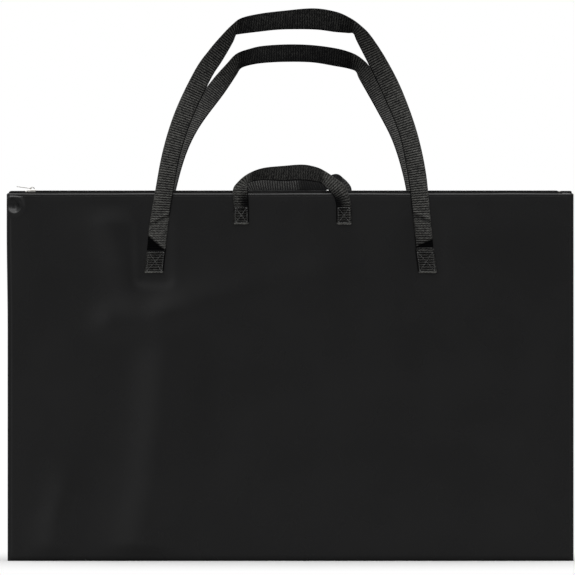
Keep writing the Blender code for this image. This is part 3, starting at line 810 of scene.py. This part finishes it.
def tape_object(side_name, side):
    """A woven tape: straight where it is sewn in, and slightly wavy beside the coil."""
    xs = np.linspace(-TAPE_HALF_LENGTH, TAPE_HALF_LENGTH, 420)
    path = np.array(TAPE_PATH)
    lengths = np.concatenate([[0], np.cumsum(np.linalg.norm(np.diff(path, axis=0), axis=1))])
    at = np.linspace(0, lengths[-1], 22)
    line = np.stack([np.interp(at, lengths, path[:, k]) for k in range(2)], -1)
    line = smooth_rows(line, 3)
    way = np.gradient(line, axis=0)
    way /= np.linalg.norm(way, axis=1)[:, None]
    free = smooth_step((line[:, 1] - 600.5) / 3)
    ripple = 0.12 * np.sin(xs[None] / 9.0 + 0.6 * line[:, 1:2]) * free[:, None]
    y = line[:, 0:1] + ripple * way[:, 1:2]
    z = line[:, 1:2] - ripple * way[:, 0:1]
    x = np.broadcast_to(xs[None], y.shape)
    outer = np.stack([x, side * y, z], -1)
    under = side * (y - TAPE_THICKNESS * way[:, 1:2])
    inner = np.stack([x, under, z + TAPE_THICKNESS * way[:, 0:1]], -1)
    made = sheet_object(side_name + "_tape_cloth", outer, inner, TAPE_MATERIAL)
    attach(made, "case")
    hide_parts(side_name + "_zipper_tape")


def cord_object(side_name, side):
    """The cord woven into the tape's edge, which the coil is wound on."""
    xs = np.arange(-CORD_HALF_LENGTH, CORD_HALF_LENGTH + 0.1, 2.0)
    around = np.linspace(0, 2 * np.pi, 11)[:-1]
    full = np.sqrt(np.clip((CORD_HALF_LENGTH + 1.0 - np.abs(xs)) / 4.0, 0, 1))[:, None]
    low = CORD_MIDDLE[1] - CORD_REACH[1]
    rings = np.stack([
        np.broadcast_to(xs[:, None], (len(xs), len(around))),
        side * (CORD_MIDDLE[0] + CORD_REACH[0] * np.cos(around)[None] * (0.4 + 0.6 * full)),
        low + CORD_REACH[1] * full * (1 + np.sin(around)[None]),
    ], -1)
    made = tube_object(side_name + "_coil_cord", rings, TAPE_MATERIAL)
    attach(made, "case")


def coil_object(side_name, side):
    """One half of the coil: a helix whose heads cross the middle between the other half's."""
    steps, sides = 10, 5
    loops = int((COIL_END - COIL_START) / COIL_PITCH) - 1
    turn = np.arange(loops * steps + 1) * 2 * np.pi / steps
    start = COIL_START + COIL_PITCH * (0.3 if side < 0 else 0.8)
    middle = np.stack([
        start + COIL_PITCH * turn / (2 * np.pi),
        side * (COIL_MIDDLE[0] + COIL_REACH[0] * np.cos(turn)),
        COIL_MIDDLE[1] + COIL_REACH[1] * np.sin(turn),
    ], -1)
    way = np.gradient(middle, axis=0)
    way /= np.linalg.norm(way, axis=1)[:, None]
    out = middle - np.stack([middle[:, 0], np.full(len(turn), side * COIL_MIDDLE[0]),
                             np.full(len(turn), COIL_MIDDLE[1])], -1)
    out /= np.linalg.norm(out, axis=1)[:, None]
    beside = np.cross(way, out)
    around = np.linspace(0, 2 * np.pi, sides + 1)[:-1]
    rings = middle[:, None] + COIL_WIRE * (np.cos(around)[None, :, None] * out[:, None]
                                           + np.sin(around)[None, :, None] * beside[:, None])
    made = tube_object(side_name + "_coil_teeth", rings, COIL_MATERIAL)
    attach(made, "case")
    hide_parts(side_name + "_zipper_coil")


# Small parts

def rounded_copy(node_name, new_name, body, radius, stuff):
    """A CAD solid again, with its hard edges rounded."""
    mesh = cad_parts[node_name].data.copy()
    bm = bmesh.new()
    bm.from_mesh(mesh)
    bmesh.ops.remove_doubles(bm, verts=bm.verts, dist=1e-6)
    bmesh.ops.dissolve_limit(bm, angle_limit=math.radians(2), verts=bm.verts, edges=bm.edges)
    hard_angle = math.radians(20)
    hard = [e for e in bm.edges if len(e.link_faces) == 2 and e.calc_face_angle() > hard_angle]
    bmesh.ops.bevel(bm, geom=hard, offset=radius * MM, offset_type="OFFSET", segments=3,
                    profile=0.5, affect="EDGES", clamp_overlap=True)
    bmesh.ops.triangulate(bm, faces=bm.faces)
    bm.to_mesh(mesh)
    bm.free()
    mesh.materials.clear()
    mesh.materials.append(stuff)
    mesh.polygons.foreach_set("use_smooth", [True] * len(mesh.polygons))
    made = bpy.data.objects.new(new_name, mesh)
    bpy.context.scene.collection.objects.link(made)
    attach(made, body)
    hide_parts(node_name)


# Build

SIDES = (
    ("front", -1, FRONT_STRAP, 0.0, leg_folds, FRONT_HANDLE, 0.0, FRONT_HANDLE_BAND),
    ("back", 1, BACK_STRAP, BACK_STRAP_LEAN, None, BACK_HANDLE, BACK_HANDLE_LEAN, BACK_HANDLE_BAND),
)
for side_name, side, strap, strap_lean, strap_folds, handle, handle_lean, handle_band in SIDES:
    panel_object(side_name, side)
    hem_stitches(side_name, side)
    tape_object(side_name, side)
    cord_object(side_name, side)
    coil_object(side_name, side)
    webbing_object(side_name + "_shoulder_webbing", STRAP, strap, side, strap_lean,
                   side_name + "_shoulder_strap", strap_folds, STRAP_BAND)
    webbing_object(side_name + "_handle_webbing", HANDLE, handle, side, handle_lean,
                   side_name + "_hand_handle", handle_folds, handle_band)
    for kind, part in ((STRAP, "_shoulder_strap_"), (HANDLE, "_hand_handle_")):
        for end in ("left", "right"):
            tab_stitches(kind, end, side, side_name + part + end)

for node_name, new_name, body, radius, stuff, slot in (
    ("left_tape_end", "left_folded_tape", "case", 0.5, TAPE_MATERIAL, "zipper_tape"),
    ("right_tape_end", "right_folded_tape", "case", 0.5, TAPE_MATERIAL, "zipper_tape"),
    ("closed_end_stop", "closed_stop_clamp", "case", 0.45, NICKEL_MATERIAL, "nickel"),
    ("open_end_stop", "open_stop_clamp", "case", 0.45, NICKEL_MATERIAL, "nickel"),
    ("slider_body", "slider_shell", "slider", 0.35, NICKEL_MATERIAL, "nickel"),
    ("slider_bail", "slider_arch", "slider", 0.4, NICKEL_MATERIAL, "nickel"),
    ("slider_pull", "slider_tab", "pull", 0.4, NICKEL_MATERIAL, "nickel"),
):
    rounded_copy(node_name, new_name, body, radius, stuff)

# What is left of the CAD is the lining: seam bindings and patches
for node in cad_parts.values():
    for slot in node.material_slots:
        slot.material = LINING_MATERIAL


# Stage

FLOOR_REACH = 9000
FLOOR_FADE = (0.3, 1.1)     # metres from the case, where the floor goes over into plain white
BASE_LIGHT = 0.12
VIEW_WIDTH = 0.9457
VIEW_CENTRE = (-0.0051, 0.4498)
VIEW_DEPTH = -0.01          # y of the plane where the view is that wide, just before the panel
LENS = 1000


def floor_object():
    """A pale floor that takes shadows near the case and is plain white further out."""
    r = FLOOR_REACH
    points = [(-r, -r, 0), (r, -r, 0), (r, r, 0), (-r, r, 0)]
    made_material, tree, shader = shader_tree("pale_floor", (0.86, 0.86, 0.86), 0.8, specular=0.1)
    where = tree.nodes.new("ShaderNodeTexCoord")
    length = tree.nodes.new("ShaderNodeVectorMath")
    length.operation = "LENGTH"
    tree.links.new(where.outputs["Object"], length.inputs[0])
    far = tree.nodes.new("ShaderNodeMapRange")
    far.interpolation_type = "SMOOTHSTEP"
    far.inputs["From Min"].default_value = FLOOR_FADE[0]
    far.inputs["From Max"].default_value = FLOOR_FADE[1]
    tree.links.new(length.outputs["Value"], far.inputs["Value"])
    glow = tree.nodes.new("ShaderNodeEmission")
    glow.inputs["Strength"].default_value = 1.0
    mix = tree.nodes.new("ShaderNodeMixShader")
    tree.links.new(far.outputs["Result"], mix.inputs["Fac"])
    tree.links.new(shader.outputs["BSDF"], mix.inputs[1])
    tree.links.new(glow.outputs["Emission"], mix.inputs[2])
    path = tree.nodes.new("ShaderNodeLightPath")
    dim = tree.nodes.new("ShaderNodeBsdfDiffuse")
    dim.inputs["Color"].default_value = (0.3, 0.3, 0.3, 1)
    seen = tree.nodes.new("ShaderNodeMixShader")
    tree.links.new(path.outputs["Is Camera Ray"], seen.inputs["Fac"])
    tree.links.new(dim.outputs["BSDF"], seen.inputs[1])
    tree.links.new(mix.outputs["Shader"], seen.inputs[2])
    tree.links.new(seen.outputs["Shader"], tree.nodes["Material Output"].inputs["Surface"])
    made = add_mesh("floor", points, [(0, 1, 2, 3)], made_material, smooth=False)


def area_light(name, place, aim, size, power):
    data = bpy.data.lights.new(name, "AREA")
    data.shape = "RECTANGLE"
    data.size, data.size_y = size
    data.energy = power
    made = bpy.data.objects.new(name, data)
    made.location = place
    made.rotation_euler = (Vector(aim) - Vector(place)).to_track_quat("-Z", "Y").to_euler()
    bpy.context.scene.collection.objects.link(made)


def world_light():
    """White where it is seen; as light, bands to the left and right, and stronger from above."""
    world = bpy.data.worlds.new("studio")
    bpy.context.scene.world = world
    world.use_nodes = True
    tree = world.node_tree
    where = tree.nodes.new("ShaderNodeTexCoord")
    split = tree.nodes.new("ShaderNodeSeparateXYZ")
    tree.links.new(where.outputs["Generated"], split.inputs[0])

    def part(axis, low, high, gain):
        node = tree.nodes.new("ShaderNodeMapRange")
        node.interpolation_type = "SMOOTHSTEP"
        node.inputs["From Min"].default_value = low
        node.inputs["From Max"].default_value = high
        node.inputs["To Max"].default_value = gain
        tree.links.new(split.outputs[axis], node.inputs["Value"])
        return node.outputs["Result"]

    parts = [
        part("X", 0.0, -0.32, 0.45), part("X", -0.42, -0.80, -0.40),
        part("X", 0.10, 0.60, 0.22), part("X", 0.62, 0.90, -0.20),
        part("Z", 0.03, 0.6, 0.32), part("Y", -0.6, 0.9, 0.08),
    ]
    level = BASE_LIGHT
    for extra in parts:
        level = math_node(tree, "ADD", level, extra)
    background = tree.nodes["Background"]
    tree.links.new(level, background.inputs["Strength"])
    shown = tree.nodes.new("ShaderNodeBackground")
    path = tree.nodes.new("ShaderNodeLightPath")
    mix = tree.nodes.new("ShaderNodeMixShader")
    tree.links.new(path.outputs["Is Camera Ray"], mix.inputs["Fac"])
    tree.links.new(background.outputs["Background"], mix.inputs[1])
    tree.links.new(shown.outputs["Background"], mix.inputs[2])
    background.inputs["Color"].default_value = (1, 1, 1, 1)
    shown.inputs["Color"].default_value = (1, 1, 1, 1)
    tree.links.new(mix.outputs["Shader"], tree.nodes["World Output"].inputs["Surface"])


floor_object()
world_light()
area_light("overhead", place=(0, -0.6, 2.6), aim=(0, 0, 0.2), size=(3.2, 2.4), power=44)

camera_data = bpy.data.cameras.new("camera")
camera = bpy.data.objects.new("camera", camera_data)
bpy.context.scene.collection.objects.link(camera)
camera_data.sensor_width = 36
camera_data.lens = LENS
camera_data.clip_end = 200
distance = VIEW_WIDTH * camera_data.lens / camera_data.sensor_width
camera.location = (VIEW_CENTRE[0], -distance + VIEW_DEPTH, VIEW_CENTRE[1])
camera.rotation_euler = (math.pi / 2, 0, 0)
bpy.context.scene.camera = camera
bpy.context.scene.view_settings.view_transform = "Standard"
